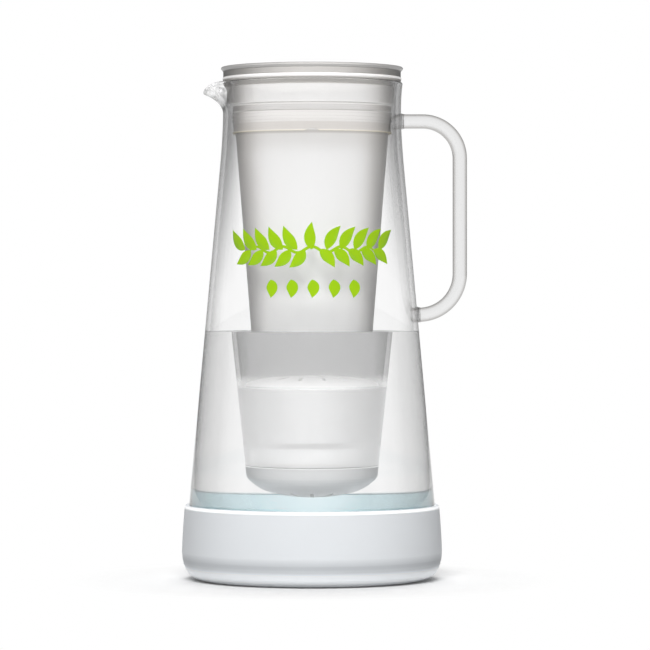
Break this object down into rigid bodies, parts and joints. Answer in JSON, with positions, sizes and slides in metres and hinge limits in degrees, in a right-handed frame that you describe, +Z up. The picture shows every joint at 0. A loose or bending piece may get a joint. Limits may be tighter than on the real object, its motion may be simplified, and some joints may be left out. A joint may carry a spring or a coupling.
{
  "type": "water filter pitcher",
  "caption": "Tapered glass jug with a spout and a glass handle, standing in a silicone boot, with a hanging hopper, twist-out filter cartridges and a lid with a flip-up filling flap.",
  "frame": {"origin": "on the jug's axis at the underside of the boot, where the pitcher stands", "axes": "+Z up along the jug's axis, the spout points to -X and the handle to +X"},
  "size_m": [0.1515, 0.1382, 0.272],
  "materials": {
    "boot_silicone": "soft matte moulded silicone",
    "clear_glass": "clear blown glass",
    "handle_glass": "clear drawn glass rod",
    "frosted_plastic": "translucent frosted plastic",
    "seal_silicone": "translucent silicone",
    "cartridge_white": "satin white moulded plastic",
    "screen_plastic": "moulded mesh",
    "fibre_white": "porous membrane strands",
    "potting_resin": "cast resin",
    "filter_felt": "needled felt",
    "carbon_granules": "packed granules",
    "resin_beads": "packed beads",
    "lid_plastic": "satin white moulded plastic",
    "pin_steel": "drawn stainless wire"
  },
  "bodies": {
    "base": {"silicone_boot": "boot_silicone"},
    "jug": {"glass_jug": "clear_glass", "glass_handle": "handle_glass"},
    "hopper": {"hopper": "frosted_plastic", "seal_band": "seal_silicone"},
    "membrane": {"membrane_housing": "cartridge_white", "membrane_cap": "cartridge_white", "inlet_screen": "screen_plastic", "hollow_fibres": "fibre_white", "potting_disc": "potting_resin", "spigot_o_rings": "seal_silicone"},
    "carbon": {"carbon_cup": "cartridge_white", "outlet_felt": "filter_felt", "carbon_bed": "carbon_granules", "middle_felt": "filter_felt", "resin_bed": "resin_beads", "inlet_felt": "filter_felt", "carbon_cover": "cartridge_white", "carbon_o_ring": "seal_silicone"},
    "lid": {"lid_frame": "lid_plastic", "lid_seal": "seal_silicone", "hinge_pin": "pin_steel"},
    "flap": {"fill_flap": "lid_plastic"}
  },
  "joints": [
    {"name": "jug_lift", "type": "slide", "parent": "base", "child": "jug", "axis": [0, 0, 1], "range_m": [0, 0.045]},
    {"name": "hopper_lift", "type": "slide", "parent": "jug", "child": "hopper", "axis": [0, 0, 1], "range_m": [0, 0.235]},
    {"name": "membrane_turn", "type": "hinge", "parent": "hopper", "child": "membrane", "pos_m": [0, 0, 0.0735], "axis": [0, 0, 1], "range_deg": [0, 90]},
    {"name": "carbon_turn", "type": "hinge", "parent": "hopper", "child": "carbon", "pos_m": [0, 0, 0.06], "axis": [0, 0, 1], "range_deg": [0, 30]},
    {"name": "lid_lift", "type": "slide", "parent": "hopper", "child": "lid", "axis": [0, 0, 1], "range_m": [0, 0.03]},
    {"name": "flap_hinge", "type": "hinge", "parent": "lid", "child": "flap", "pos_m": [-0.012, 0, 0.27], "axis": [0, -1, 0], "range_deg": [0, 95]}
  ]
}
